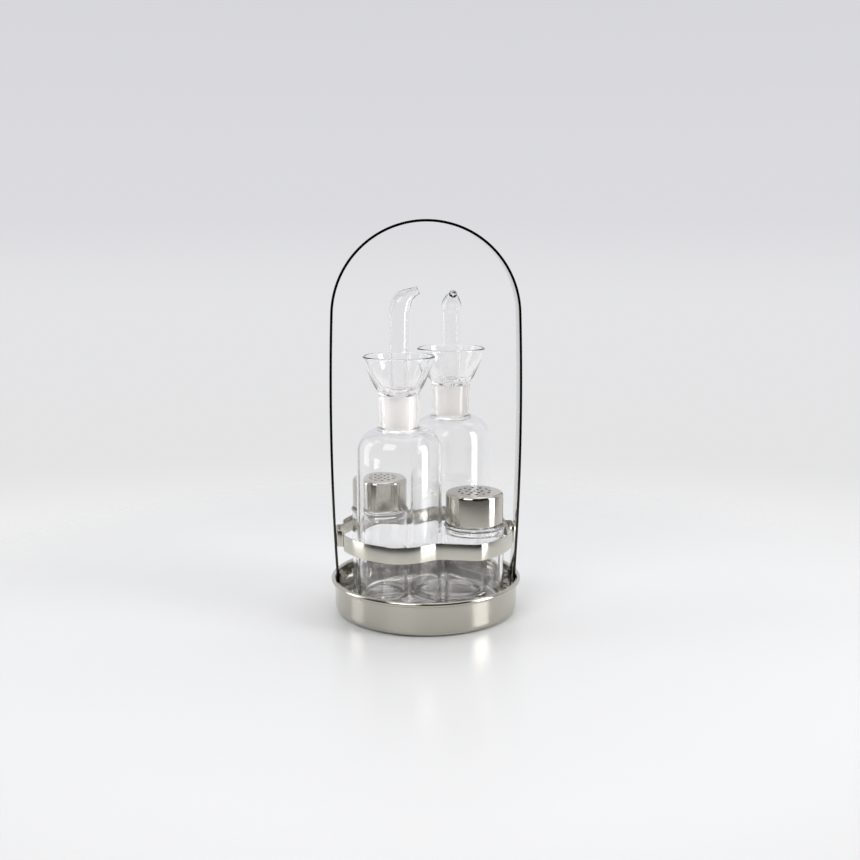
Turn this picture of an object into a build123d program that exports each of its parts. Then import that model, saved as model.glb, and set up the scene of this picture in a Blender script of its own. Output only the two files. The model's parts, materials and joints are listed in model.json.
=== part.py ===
from build123d import *
from math import atan2, cos, radians, sin, sqrt, tan
import os

# Cruet set: a round steel tray with a fixed arch handle and a band that keeps
# two glass cruets and two glass shakers in their places.
#
# Frame: millimetres, +Z up, the handle lies along X, the front faces -Y.  The
# origin is the centre of the tray's underside, on the table.
#
# Everything stands in a ring about the axis.  The vessels set the size of the
# ring, the ring sets the band and the tray, and the spouts set the handle.

# ---- steel stand ----
sheet = 0.6              # tray steel
tray_height = 24.9       # table to the top of the rolled rim
tray_corner = 5.0        # outer radius between floor and wall
tray_margin = 1.9        # band outer face to tray wall
rim_curl = 1.4           # radius of the rolled rim, to the middle of the sheet
curl_turn = 250.0        # how far the rim rolls over, degrees

strip_width = 14.0       # handle strip, front to back
strip_thick = 1.8
leg_spread = 3.3         # how far the legs bow out above the tray
leg_foot_gap = 0.4       # leg end above the tray's rounded corner
weld_gap = 0.02          # between faces that are welded together
hand_room = 42.7         # spout tops to the underside of the arch

band_height = 11.5
band_thick = 0.9
band_drop = 5.5          # band top below the shaker's glass bead
nib_depth = 4.7          # band steps out this far to reach a leg
nib_half = 9.4           # half the width of that step
nib_bend = 1.9           # its corner radius, outer face
band_soft = 9.0          # corners beside the steps
dent_shift = -1.0        # the dent, right of the middle between its two vessels
dent_steep = 28.0        # slope of its side by the cruet, degrees
dent_easy = 14.0         # slope of its side by the shaker
dent_clear = 1.5         # the steep side stands this far off the cruet's curve
dent_bend = 8.0          # radius at the bottom of the dent
dent_run = 26.0          # radius where the steep side meets the round part
dent_shoulder = 8.0      # radius where the easy side meets it

# ---- where things stand ----
row_turn = 50.2          # direction of the rear cruet from +X, degrees
seat_gap = 0.2           # vessel foot above the tray floor
band_gap = 0.4           # vessel wall to the band
vessel_gap = 1.5         # cruet wall to shaker bead

# ---- cruet ----
bottle_radius = 29.3
bottle_height = 158.2    # foot to the lip of the neck
bottle_wall = 2.0
bottle_floor = 4.0
foot_radius = 3.0
push_up = 1.6            # hollow under the foot
neck_wall_low = 2.5      # glass round the socket where it leaves the shoulder
neck_wall_high = 2.3     # and at the lip
neck_length = 22.7
neck_ledge = 0.4         # flat between shoulder and neck
joint_low = 10.9         # ground socket, bottom radius
joint_high = 12.0        # ground socket, top radius
joint_gap = 0.05         # plug to socket

# ---- stopper: plug, drip cup and spout in one piece of glass ----
cup_seat = 0.8           # cup above the lip
cup_step = 0.3           # cup's bottom inside the lip of the neck
cup_swell = 5.6          # cup radius gained from its bottom to its waist
cup_waist_up = 0.46      # height of the waist, share of the cup
cup_flare = 4.8          # and gained from the waist to the rim
cup_height = 24.7
cup_wall = 2.0
cup_floor = 2.2
cup_edge = 0.6           # how high the rim's edge is rounded
joined = 0.5             # the tube runs this far into the cup's floor
plug_wall = 2.2
plug_short = 1.5         # plug ends this far above the socket's bottom
spout_low = 6.2          # tube radius in the cup
spout_high = 7.2         # tube radius below the bend
spout_wall = 1.8
oil_spout = 50.4         # cup bottom to the start of the bend
vinegar_spout = 45.8     # drawn by hand, this one is shorter
bend_length = 25.0       # along the middle of the bend
bend_even = 0.37         # share of the bend before it narrows
bend_stations = 6
beak_lean = 68.0         # degrees from upright at the tip
tip_radius = 2.8
tip_bore = 1.3
drip_hole = 1.25         # radius of the return hole in the cup's floor
oil_turn = -5.0          # where the beaks point, degrees from +X
vinegar_turn = -90.0

# ---- shaker ----
jar_radius = 20.6
bead_proud = 0.5         # glass bead under the cap, outside the jar's wall
jar_bead_height = 66.0   # table to the underside of the bead
bead_thick = 3.0
jar_wall = 2.0
jar_floor = 4.0
jar_foot = 2.5
bead_cove = 1.0          # waist in the wall just below the bead
cove_low = 3.2           # where the waist ends, below the bead
neck_step = 3.2          # jar's neck inside its wall
neck_slope = 4.0         # the inside narrows from this far below the bead
neck_rise = 18.5         # neck above the bead
cap_room = 2.6           # jar's neck to the outside of the cap
cap_height = 21.0
cap_lift = 1.0           # cap edge above the bead
cap_sheet = 0.5
cap_corner = 2.4
hole_radius = 1.15
hole_steps = 2           # rings of holes round the middle one
hole_spread = 0.53       # outer ring, share of the cap's radius
holes_round = 6          # holes in the first ring, and more in each one after
liner_gap = 0.1          # liner to the jar's neck
liner_fit = 0.02         # liner to the cap
liner_up = 1.6           # liner above the cap's edge
liner_short = 0.1        # and below the cap's rounded corner

os.makedirs("parts", exist_ok=True)

# ---- glass and caps ----
neck_low = joint_low + neck_wall_low
neck_high = joint_high + neck_wall_high
cup_foot = neck_high - cup_step
cup_waist = cup_foot + cup_swell
cup_rim = cup_waist + cup_flare
jar_bead = jar_radius + bead_proud
jar_neck = jar_radius - neck_step
cap_radius = jar_neck + cap_room

# ---- the ring ----
pair = bottle_radius + jar_bead + vessel_gap
square = sqrt(2 * pair ** 2 - (bottle_radius - jar_radius) ** 2)
reach = max(
    (bottle_radius + jar_radius + square) / 2,
    2 * bottle_radius + vessel_gap / 2,
    2 * jar_radius + vessel_gap / 2,
)
bottle_out = reach - bottle_radius
jar_out = reach - jar_radius
band_outer = reach + band_gap + band_thick
tray_inner = band_outer + tray_margin
tray_outer = tray_inner + sheet

floor_top = sheet
seat = floor_top + seat_gap
lip = seat + bottle_height
cup_bottom = lip + cup_seat
band_top = jar_bead_height - band_drop
band_bottom = band_top - band_height


def polar(radius, angle):
    return (radius * cos(radians(angle)), radius * sin(radians(angle)))


oil_place = polar(bottle_out, row_turn + 180)
vinegar_place = polar(bottle_out, row_turn)
salt_place = polar(jar_out, row_turn - 90)
pepper_place = polar(jar_out, row_turn + 90)
dent_x = (oil_place[0] + salt_place[0]) / 2 + dent_shift


def turned(edges):
    """A solid of revolution from edges that lie in the XZ plane."""
    return revolve(make_face(edges), Axis.Z)


def spout_bend():
    """Stations along the bend: out, up, radius of the glass, radius of the
    bore, lean from upright.  It leans over evenly at first and last, and
    narrows once it has begun to lean."""
    def ease(t):
        t = min(max(t, 0.0), 1.0)
        return t * t * (3 - 2 * t)

    out, up = 0.0, 0.0
    found = []
    for k in range(bend_stations + 1):
        t = k / bend_stations
        if k:
            middle = radians(beak_lean * ease(t - 0.5 / bend_stations))
            out += sin(middle) * bend_length / bend_stations
            up += cos(middle) * bend_length / bend_stations
        wide = 1 - ease((t - bend_even) / (1 - bend_even))
        glass = tip_radius + (spout_high - tip_radius) * wide
        bore = tip_bore + (spout_high - spout_wall - tip_bore) * wide
        found.append((out, up, glass, bore, beak_lean * ease(t)))
    return found


spout_stations = spout_bend()
tip_up = spout_stations[-1][1]
tallest = cup_bottom + max(oil_spout, vinegar_spout)
spout_top = tallest + tip_up + tip_radius * sin(radians(beak_lean))
handle_top = spout_top + hand_room + strip_thick

# ---- handle lines: legs are wide arcs that run into the arch ----
leg_foot = sqrt(tray_inner ** 2 - (strip_width / 2) ** 2) - weld_gap - strip_thick / 2
leg_wide = leg_foot + leg_spread
wide_up = handle_top / 2
leg_drop = wide_up - tray_height
leg_radius = (leg_drop ** 2 + leg_spread ** 2) / (2 * leg_spread)
leg_centre = leg_wide - leg_radius
arch_mid = handle_top - strip_thick / 2
reach_down = leg_radius + wide_up - arch_mid
arch_rise = (leg_centre ** 2 - reach_down ** 2) / (2 * reach_down)
arch_up = wide_up + arch_rise
arch_radius = arch_mid - arch_up
arch_lean = atan2(arch_rise, -leg_centre)


def leg_x(z, side=0.0):
    """Half the span between the legs at height z, on the strip's middle, or
    side millimetres outside it."""
    return leg_centre + sqrt((leg_radius + side) ** 2 - (z - wide_up) ** 2)


def handle_edges(side):
    """The strip's line, side millimetres outside its middle, from the right
    foot over the arch to the left foot."""
    foot = leg_foot + side
    knee = wide_up - sqrt((leg_radius + side) ** 2 - (foot - leg_centre) ** 2)
    join = (
        (arch_radius + side) * cos(arch_lean),
        arch_up + (arch_radius + side) * sin(arch_lean),
    )
    end = (foot, tray_corner + leg_foot_gap)
    right = [
        Line(end, (foot, knee)),
        ThreePointArc((foot, knee), (leg_wide + side, wide_up), join),
    ]
    top = ThreePointArc(join, (0, arch_mid + side), (-join[0], join[1]))
    left = [mirror(edge, Plane.YZ) for edge in right]
    return right + [top] + left, end


def make_handle():
    outer, outer_end = handle_edges(strip_thick / 2)
    inner, inner_end = handle_edges(-strip_thick / 2)
    ends = [
        Line(outer_end, inner_end),
        Line((-outer_end[0], outer_end[1]), (-inner_end[0], inner_end[1])),
    ]
    outline = make_face(outer + inner + ends)
    upright = Plane.XZ * outline
    return extrude(upright, strip_width / 2, both=True)


def make_tray():
    """Drawn pan: floor, rounded corner, wall, and a rim rolled outwards."""
    middle = tray_inner + sheet / 2
    curl_x = middle + rim_curl
    curl_z = tray_height - sheet / 2 - rim_curl
    big = rim_curl + sheet / 2
    small = rim_curl - sheet / 2
    inner_corner = tray_corner - sheet
    end = radians(180 - curl_turn)
    outer_end = (curl_x + big * cos(end), curl_z + big * sin(end))
    inner_end = (curl_x + small * cos(end), curl_z + small * sin(end))
    edges = [
        Line((0, 0), (tray_outer - tray_corner, 0)),
        RadiusArc(
            (tray_outer - tray_corner, 0), (tray_outer, tray_corner), -tray_corner
        ),
        Line((tray_outer, tray_corner), (tray_outer, curl_z)),
        ThreePointArc((tray_outer, curl_z), (curl_x, curl_z + small), inner_end),
        Line(inner_end, outer_end),
        ThreePointArc(outer_end, (curl_x, curl_z + big), (tray_inner, curl_z)),
        Line((tray_inner, curl_z), (tray_inner, tray_corner)),
        RadiusArc(
            (tray_inner, tray_corner),
            (tray_inner - inner_corner, sheet),
            inner_corner,
        ),
        Line((tray_inner - inner_corner, sheet), (0, sheet)),
        Line((0, sheet), (0, 0)),
    ]
    return turned([Plane.XZ * edge for edge in edges])


def dent_tip():
    """The bottom corner of the front dent, before it is rounded."""
    hug = bottle_radius + band_gap + band_thick + dent_clear
    steep = radians(dent_steep)
    across = dent_x - oil_place[0]
    return (dent_x, oil_place[1] - (hug - sin(steep) * across) / cos(steep))


def on_ring(point, direction):
    """Where a line from a point, towards a direction in degrees, leaves the
    band's circle."""
    dx, dy = polar(1, direction)
    along = point[0] * dx + point[1] * dy
    inside = band_outer ** 2 - point[0] ** 2 - point[1] ** 2
    run = sqrt(along ** 2 + inside) - along
    return (point[0] + run * dx, point[1] + run * dy)


def round_corners(shape, corners, radius):
    """Rounds the corners nearest to these points and to their twins half a
    turn away."""
    chosen = []
    for x, y in corners:
        for turn in (1, -1):
            twin = Vector(turn * x, turn * y, 0)
            chosen.append(min(shape.vertices(), key=lambda v: (Vector(v) - twin).length))
    return fillet(chosen, radius)


def band_outline():
    """Outer edge of the closed band, seen from above."""
    tab = leg_x((band_top + band_bottom) / 2, -strip_thick / 2)
    flat = tab - nib_depth
    tip = dent_tip()
    steep_foot = on_ring(tip, 180 + dent_steep)
    easy_foot = on_ring(tip, -dent_easy)
    past = 3 * band_outer
    wedge = make_face(Polyline(
        tip,
        (tip[0] - past, tip[1] - past * tan(radians(dent_steep))),
        (tip[0] + past, tip[1] - past * tan(radians(dent_easy))),
        close=True,
    ))
    shape = Circle(band_outer) & Rectangle(2 * flat, 4 * band_outer)
    shape = shape + Rectangle(2 * tab, 2 * nib_half) - wedge - wedge.rotate(Axis.Z, 180)
    soft_y = sqrt(band_outer ** 2 - flat ** 2)
    nibs = [(x, y) for x in (tab, flat) for y in (nib_half, -nib_half)]
    shape = round_corners(shape, nibs, nib_bend)
    shape = round_corners(shape, [(flat, soft_y), (flat, -soft_y)], band_soft)
    shape = round_corners(shape, [tip], dent_bend)
    shape = round_corners(shape, [steep_foot], dent_run)
    return round_corners(shape, [easy_foot], dent_shoulder)


def make_bands(handle):
    """Front and rear strips; their ends meet on the inner faces of the legs."""
    outline = band_outline()
    loop = outline - offset(outline, amount=-band_thick, kind=Kind.INTERSECTION)
    solid = Pos(0, 0, band_bottom) * extrude(loop, band_height) - handle
    size = 4 * band_outer
    front = solid & Pos(0, -size / 2 - weld_gap / 2, 0) * Box(size, size, size)
    rear = solid & Pos(0, size / 2 + weld_gap / 2, 0) * Box(size, size, size)
    return front, rear


def hollow_foot(radius, rise):
    """The underside of a vessel inside its standing ring: a shallow dome
    whose centre of curvature is on the vessel's axis."""
    curve = (radius ** 2 + rise ** 2) / (2 * rise)
    drop = curve - sqrt(curve ** 2 - radius ** 2 / 4)
    return ThreePointArc(
        (radius, seat), (radius / 2, seat + rise - drop), (0, seat + rise)
    )


def make_bottle(place):
    """Round bottle with a thick foot and a ground socket in its neck."""
    r, w = bottle_radius, bottle_wall
    shoulder_x = neck_low + neck_ledge
    s = r - shoulder_x
    neck_z = lip - neck_length
    shoulder_z = neck_z - s
    inner_s = s - w
    foot_in = r - foot_radius
    floor = seat + bottle_floor
    inner_r = r - w
    meet = neck_z - w
    eighth = cos(radians(45))
    edges = [
        Line((0, seat + push_up), (0, floor)),
        Line((0, floor), (inner_r - 2 * foot_radius, floor)),
        RadiusArc(
            (inner_r - 2 * foot_radius, floor),
            (inner_r, floor + 2 * foot_radius),
            -2 * foot_radius,
        ),
        Line((inner_r, floor + 2 * foot_radius), (inner_r, shoulder_z)),
        ThreePointArc(
            (inner_r, shoulder_z),
            (shoulder_x + inner_s * eighth, shoulder_z + inner_s * eighth),
            (shoulder_x, meet),
        ),
        Line((shoulder_x, meet), (joint_low, meet)),
        Line((joint_low, meet), (joint_low, neck_z)),
        Line((joint_low, neck_z), (joint_high, lip)),
        Line((joint_high, lip), (neck_high, lip)),
        Line((neck_high, lip), (neck_low, neck_z)),
        Line((neck_low, neck_z), (shoulder_x, neck_z)),
        ThreePointArc(
            (shoulder_x, neck_z),
            (shoulder_x + s * eighth, shoulder_z + s * eighth),
            (r, shoulder_z),
        ),
        Line((r, shoulder_z), (r, seat + foot_radius)),
        RadiusArc((r, seat + foot_radius), (foot_in, seat), foot_radius),
        Line((foot_in, seat), (foot_in - foot_radius, seat)),
        hollow_foot(foot_in - foot_radius, push_up),
    ]
    return Pos(*place) * turned([Plane.XZ * e for e in edges])


def spout_solid(column, first, bend_start):
    """The tube from height first through the bend; column 2 is the outside of
    the glass, column 3 the bore."""
    start = spout_low if column == 2 else spout_low - spout_wall
    top = spout_stations[0][column]
    straight = turned([
        Plane.XZ * e
        for e in Polyline(
            (0, first), (start, first), (top, bend_start), (0, bend_start), close=True
        ).edges()
    ])
    sections = []
    for station in spout_stations:
        out, up, lean = station[0], station[1], radians(station[4])
        plane = Plane((out, 0, bend_start + up), z_dir=(sin(lean), 0, cos(lean)))
        sections.append(plane * Circle(station[column]))
    bend = loft(sections)
    return straight + bend


def make_stopper(place, turn, rise):
    """Plug, drip cup and spout, blown and fused into one piece."""
    plug_low = lip - neck_length + plug_short
    bend = cup_bottom + rise
    share = plug_short / neck_length
    low = joint_low + (joint_high - joint_low) * share - joint_gap
    high = joint_high - joint_gap
    rim = cup_bottom + cup_height
    half = cup_bottom + cup_height * cup_waist_up
    bore = spout_low - spout_wall
    cup_in = cup_bottom + cup_floor
    plug_in = high - plug_wall
    cup = [
        Line((low - plug_wall, plug_low), (low, plug_low)),
        Line((low, plug_low), (high, lip)),
        Line((high, lip), (cup_foot, cup_bottom)),
        ThreePointArc((cup_foot, cup_bottom), (cup_waist, half), (cup_rim, rim)),
        ThreePointArc(
            (cup_rim, rim),
            (cup_rim - cup_wall / 2, rim + cup_edge),
            (cup_rim - cup_wall, rim),
        ),
        ThreePointArc(
            (cup_rim - cup_wall, rim),
            (cup_waist - cup_wall, half + cup_edge),
            (cup_foot - cup_wall, cup_in),
        ),
        Line((cup_foot - cup_wall, cup_in), (bore, cup_in)),
        Line((bore, cup_in), (bore, cup_bottom)),
        Line((bore, cup_bottom), (plug_in, cup_bottom - 2 * plug_wall)),
        Line((plug_in, cup_bottom - 2 * plug_wall), (low - plug_wall, plug_low)),
    ]
    body = turned([Plane.XZ * e for e in cup])
    body += spout_solid(2, cup_in - joined, bend)
    drain_x = (spout_low + cup_foot - cup_wall) / 2
    drain = Pos(drain_x, 0, cup_bottom - cup_floor / 2) * Cylinder(drip_hole, 4 * cup_floor)
    body = body - spout_solid(3, cup_bottom - joined, bend) - drain
    return Pos(*place) * Rot(0, 0, turn) * body


def make_jar(place):
    """Straight glass jar with a bead, and a plain neck for the cap's liner."""
    bead = jar_bead_height
    top = bead + bead_thick + neck_rise
    wall = jar_radius - jar_wall
    mouth = jar_neck - jar_wall
    slope = bead - neck_slope
    edges = [
        Line((0, seat + push_up / 2), (0, seat + jar_floor)),
        Line((0, seat + jar_floor), (wall - jar_foot, seat + jar_floor)),
        RadiusArc(
            (wall - jar_foot, seat + jar_floor),
            (wall, seat + jar_floor + jar_foot),
            -jar_foot,
        ),
        Line((wall, seat + jar_floor + jar_foot), (wall, slope)),
        Line((wall, slope), (mouth, bead + bead_thick)),
        Line((mouth, bead + bead_thick), (mouth, top)),
        Line((mouth, top), (jar_neck, top)),
        Line((jar_neck, top), (jar_neck, bead + bead_thick)),
        Line((jar_neck, bead + bead_thick), (jar_bead - bead_thick / 2, bead + bead_thick)),
        ThreePointArc(
            (jar_bead - bead_thick / 2, bead + bead_thick),
            (jar_bead, bead + bead_thick / 2),
            (jar_bead - bead_thick / 2, bead),
        ),
        Line((jar_bead - bead_thick / 2, bead), (jar_radius - bead_cove, bead - cove_low / 5)),
        ThreePointArc(
            (jar_radius - bead_cove, bead - cove_low / 5),
            (jar_radius - bead_cove / 3, bead - cove_low / 2),
            (jar_radius, bead - cove_low),
        ),
        Line((jar_radius, bead - cove_low), (jar_radius, seat + jar_foot)),
        RadiusArc(
            (jar_radius, seat + jar_foot), (jar_radius - jar_foot, seat), jar_foot
        ),
        Line((jar_radius - jar_foot, seat), (jar_radius - 2 * jar_foot, seat)),
        hollow_foot(jar_radius - 2 * jar_foot, push_up / 2),
    ]
    return Pos(*place) * turned([Plane.XZ * e for e in edges])


def make_cap(place):
    """Drawn steel cap with rings of shaker holes in its top."""
    low = jar_bead_height + bead_thick + cap_lift
    top = low + cap_height
    inside = cap_corner - cap_sheet
    r = cap_radius
    edges = [
        Line((0, top), (r - cap_corner, top)),
        RadiusArc((r - cap_corner, top), (r, top - cap_corner), cap_corner),
        Line((r, top - cap_corner), (r, low)),
        Line((r, low), (r - cap_sheet, low)),
        Line((r - cap_sheet, low), (r - cap_sheet, top - cap_corner)),
        RadiusArc(
            (r - cap_sheet, top - cap_corner), (r - cap_corner, top - cap_sheet), -inside
        ),
        Line((r - cap_corner, top - cap_sheet), (0, top - cap_sheet)),
        Line((0, top - cap_sheet), (0, top)),
    ]
    cap = turned([Plane.XZ * e for e in edges])
    for step in range(hole_steps + 1):
        ring = cap_radius * hole_spread * step / hole_steps
        count = holes_round * step or 1
        for i in range(count):
            x, y = polar(ring, 360.0 * i / count)
            cap -= Pos(x, y, top) * Cylinder(hole_radius, 6 * cap_sheet)
    return Pos(*place) * cap


def make_liner(place):
    """Plastic ring pressed into the cap; it grips the jar's neck."""
    low = jar_bead_height + bead_thick + cap_lift + liner_up
    top = jar_bead_height + bead_thick + cap_lift + cap_height - cap_corner - liner_short
    outer = cap_radius - cap_sheet - liner_fit
    bore = jar_neck + liner_gap
    ring = Cylinder(outer, top - low) - Cylinder(bore, top - low)
    return Pos(*place, (top + low) / 2) * ring


handle = make_handle()
front_band, rear_band = make_bands(handle)
nodes = {
    "tray": make_tray(),
    "handle": handle,
    "front_band": front_band,
    "rear_band": rear_band,
    "oil_bottle": make_bottle(oil_place),
    "oil_stopper": make_stopper(oil_place, oil_turn, oil_spout),
    "vinegar_bottle": make_bottle(vinegar_place),
    "vinegar_stopper": make_stopper(vinegar_place, vinegar_turn, vinegar_spout),
    "salt_jar": make_jar(salt_place),
    "salt_cap": make_cap(salt_place),
    "salt_cap_liner": make_liner(salt_place),
    "pepper_jar": make_jar(pepper_place),
    "pepper_cap": make_cap(pepper_place),
    "pepper_cap_liner": make_liner(pepper_place),
}
for name, shape in nodes.items():
    export_step(shape, f"parts/{name}.step")
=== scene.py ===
"""Cruet set: a steel stand with two glass cruets and two glass shakers.

Meshes are drawn in millimetres about the object's own axes and turned to metres
when they are finished.  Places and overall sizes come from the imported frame;
the named sizes below are those of the single pieces.
"""

import json
from math import atan2, ceil, cos, degrees, hypot, pi, radians, sin, sqrt, tan

import bmesh
import bpy
from mathutils import Matrix, Vector


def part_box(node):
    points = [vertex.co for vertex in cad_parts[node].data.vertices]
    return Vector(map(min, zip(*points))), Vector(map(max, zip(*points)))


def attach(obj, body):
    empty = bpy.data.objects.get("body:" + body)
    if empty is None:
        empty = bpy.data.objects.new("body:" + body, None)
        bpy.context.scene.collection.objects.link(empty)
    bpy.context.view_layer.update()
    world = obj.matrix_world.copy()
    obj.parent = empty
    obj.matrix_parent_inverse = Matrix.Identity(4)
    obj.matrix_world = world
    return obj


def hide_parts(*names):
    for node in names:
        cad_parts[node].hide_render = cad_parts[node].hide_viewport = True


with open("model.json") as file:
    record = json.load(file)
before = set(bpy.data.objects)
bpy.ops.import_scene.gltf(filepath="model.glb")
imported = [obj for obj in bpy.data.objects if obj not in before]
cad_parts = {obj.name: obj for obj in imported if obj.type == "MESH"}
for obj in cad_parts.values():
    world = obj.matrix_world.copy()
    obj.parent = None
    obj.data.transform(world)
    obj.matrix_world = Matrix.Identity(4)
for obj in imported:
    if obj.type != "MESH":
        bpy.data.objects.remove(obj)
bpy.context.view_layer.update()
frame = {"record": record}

MM = 0.001
AROUND = 144             # facets round a turned piece
ROUND_STEP = 7.0         # degrees that one facet of a rounded corner turns
TOO_CLOSE = 0.02         # mm between points of a strip that are made one

# ---- steel stand, mm ----
SHEET = 0.6
TRAY_CORNER = 5.0
RIM_CURL = 1.4
CURL_TURN = 250.0
STRIP_THICK = 1.8
LEG_SPREAD = 3.3
STRIP_EDGE = 0.18
BAND_THICK = 0.9
BAND_EDGE = 0.22
NIB_DEPTH = 4.7
NIB_HALF = 9.4
NIB_BEND = 1.9
BAND_SOFT = 9.0
DENT_SHIFT = -1.0
DENT_STEEP = 28.0
DENT_EASY = 14.0
DENT_CLEAR = 1.5
DENT_BEND = 8.0
DENT_RUN = 26.0
DENT_SHOULDER = 8.0
BAND_GAP = 0.4
TRAY_MARGIN = 1.9
PAN_RINGS = (45.0, 30.0, 15.0)      # rings that share out the pan's floor

# ---- cruets, mm ----
BOTTLE_WALL = 2.0
BOTTLE_FLOOR = 4.0
FOOT_RADIUS = 3.0
PUSH_UP = 1.6
NECK_LOW = 13.4
NECK_HIGH = 14.3
NECK_LENGTH = 22.7
NECK_LEDGE = 0.4
NECK_FOOT = 1.2          # out from the ledge, where the neck's cove begins
NECK_COVE = ((0.25, 0.15, 1.1), (0.1, 3.0))     # out and up, with its round
NECK_RISE = (0.2, 5.0)
NECK_FLARE = 2.0         # degrees short of level where the shoulder meets the neck
LIP_ROUND = 0.6
SOCKET_FOOT = 0.9        # round at the foot of the ground socket
GROUND_OVER = 0.3        # how far past its own wall the ground face is looked for
GROUND_SHORT = 0.4       # how far below the lip the grinding ends
SOCKET_LOW = 10.9
SOCKET_HIGH = 12.0
PLUG_GAP = 0.05
CUP_FOOT = 14.0
CUP_WAIST = 19.6
CUP_HEIGHT = 24.7
CUP_RIM = 24.4
CUP_WAIST_UP = 0.46      # share of the cup's height
DRIP_HOLE = 1.25
BEND_NARROWS = 0.37      # share of the bend before it narrows
BEND_STEPS = 20
CUP_WALL = 2.0
CUP_FLOOR = 2.2
CUP_SEAT = 0.8
CUP_UNDER = ((-0.6, 0.0, 1.0), (0.4, 1.0))      # out from the cup's foot, up, round
CUP_STARTS = (0.6, 1.4)
BOWL_LEAVES = 0.6        # the bowl's waist stands this much above the outer one
BOWL_ENDS = (0.8, 1.6)
BOWL_FLOOR = ((0.6, 1.2), (-0.3, 0.0, 1.2))
PLUG_WALL = 2.2
PLUG_SHORT = 1.5
PLUG_ROUND = 0.5
PLUG_NECK = 0.4          # round between plug and cup
PLUG_TOP = 2.5           # round where the plug's hollow closes to the bore
BORE_FOOT = 2.0
SPOUT_FOOT = 1.6
SPOUT_RISE = (0.1, 4.0)  # out and up, where the tube leaves its round foot
PLUG_GROUND = 0.3        # how far from its ends the plug's grinding stops
SPOUT_LOW = 6.2
SPOUT_HIGH = 7.2
SPOUT_WALL = 1.8
BEND_LENGTH = 25.0
BEND_LEAN = 68.0
TIP_RADIUS = 2.8
TIP_BORE = 1.3
BEAK_LIP = ((0.35, 0.15), (0.55, 0.5))      # on from the bend's end, thinner by
SPOUTS = {"oil": (50.4, -5.0), "vinegar": (45.8, -90.0)}     # rise, turn of the beak

# ---- shakers, mm ----
JAR_RADIUS = 20.6
JAR_WALL = 2.0
JAR_FLOOR = 4.0
JAR_FOOT = 2.5
JAR_NECK = 17.4
JAR_TOP = 18.5
BEAD = 3.0
BEAD_COVE = ((0.0, -2.0, 2.5), (-1.1, -0.6, 0.8))   # out and up from the wall's top
BEAD_EDGE = ((-0.4, 0.3), (-0.2, 0.5))      # out from the bead's middle, round
JAR_LIP = 0.9
JAR_SHOULDER = 4.0
CAP_SHEET = 0.5
CAP_CORNER = 2.4
CAP_RING = 6.0           # ring that shares out the cap's crown
HOLE_RADIUS = 1.15
HOLE_RINGS = ((0.0, 1), (5.3, 6), (10.6, 12))
HOLE_FACETS = 20
LINER_GAP = 0.1
LINER_ROUND = 0.3
LINER_SEAM = 1.0         # up from the liner's foot, where its outline closes
WELD_GAP = 0.02

# ---- finishes, mm ----
SHARP_OVER = 38.0        # degrees between faces that meet in a crease
GRAIN_RADIUS = 60.0      # where the grain's U is at true size
GRAIN_LENGTH = 25.0      # how far one scratch runs
CLOUD = 18.0             # faint patches of more and less polish

NOISE_RANGE = (0.6, 1.4)     # where the sum of two noises mostly lies

# ---- stage, m and degrees ----
VIEW_TURN = 5.5          # the set stands turned this far to the camera
EYE = (0.0030, -0.7834, 0.2701)
LOOK_DOWN = 10.15
LENS = 47.2
FLOOR_RADIUS = 0.50
FLOOR_FADES = (0.58, 0.98)   # shares of its radius where the table fades and is gone
TABLE_DROP = 0.0002      # the table's top lies this far below the set
BACKDROP = ((0.02, "#EBEBEC"), (0.20, "#F1F1F1"), (0.25, "#EFEFEF"), (0.31, "#E4E4E5"),
            (0.43, "#E4E4E6"), (0.53, "#DBDBDF"), (0.75, "#D6D6DA"))
ROOM_DARK = 0.02
ROOM_LIGHT = 0.85
ROOM_TURNS = (-0.35, 0.6)    # how far it faces ahead where the dark ends, the light begins
LIGHT_AIM = 0.12         # height that every softbox points at
# name, turn from the camera, rise, distance, width, height, watts
SOFTBOXES = (
    ("right_strip", 72, 8, 1.3, 0.50, 1.3, 16),
    ("left_wall", -94, 12, 1.4, 0.5, 1.2, 6),
    ("front_window", -30, 40, 1.5, 0.8, 0.8, 9),
    ("overhead", 150, 78, 1.3, 1.3, 1.3, 7),
)


# ---------------------------------------------------------------- shapes

def rounded(*corners):
    """Points along straight runs; each corner is (across, up) or, rounded,
    (across, up, radius)."""
    points = []
    for i, corner in enumerate(corners):
        here = Vector(corner[:2])
        if len(corner) == 2 or i in (0, len(corners) - 1):
            points.append(here)
            continue
        before = (Vector(corners[i - 1][:2]) - here).normalized()
        after = (Vector(corners[i + 1][:2]) - here).normalized()
        opening = before.angle(after)
        back = corner[2] / tan(opening / 2)
        centre = here + (before + after).normalized() * corner[2] / sin(opening / 2)
        first = here + before * back - centre
        turn = first.angle_signed(here + after * back - centre)
        steps = max(3, ceil(degrees(abs(turn)) / ROUND_STEP))
        for k in range(steps + 1):
            spun = first.copy()
            spun.rotate(Matrix.Rotation(-turn * k / steps, 2))
            points.append(centre + spun)
    return points


def placed(outline, out, up):
    """An outline's corners, each (across, up) with or without a round, set out
    and up by so much."""
    return [(out + across, up + rise, *round_) for across, rise, *round_ in outline]


def lathe(points, loop=False):
    """A bmesh spun from (across, up) points about the upright axis."""
    bm = bmesh.new()
    verts = [bm.verts.new((max(x, 0.0), 0, z)) for x, z in points]
    pairs = list(zip(verts, verts[1:])) + ([(verts[-1], verts[0])] if loop else [])
    edges = [bm.edges.new(pair) for pair in pairs]
    bmesh.ops.spin(
        bm, geom=verts + edges, cent=(0, 0, 0), axis=(0, 0, 1), angle=2 * pi,
        steps=AROUND, use_merge=True, use_duplicate=False,
    )
    bmesh.ops.remove_doubles(bm, verts=bm.verts, dist=1e-4)
    bmesh.ops.recalc_face_normals(bm, faces=bm.faces)
    return bm


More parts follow.
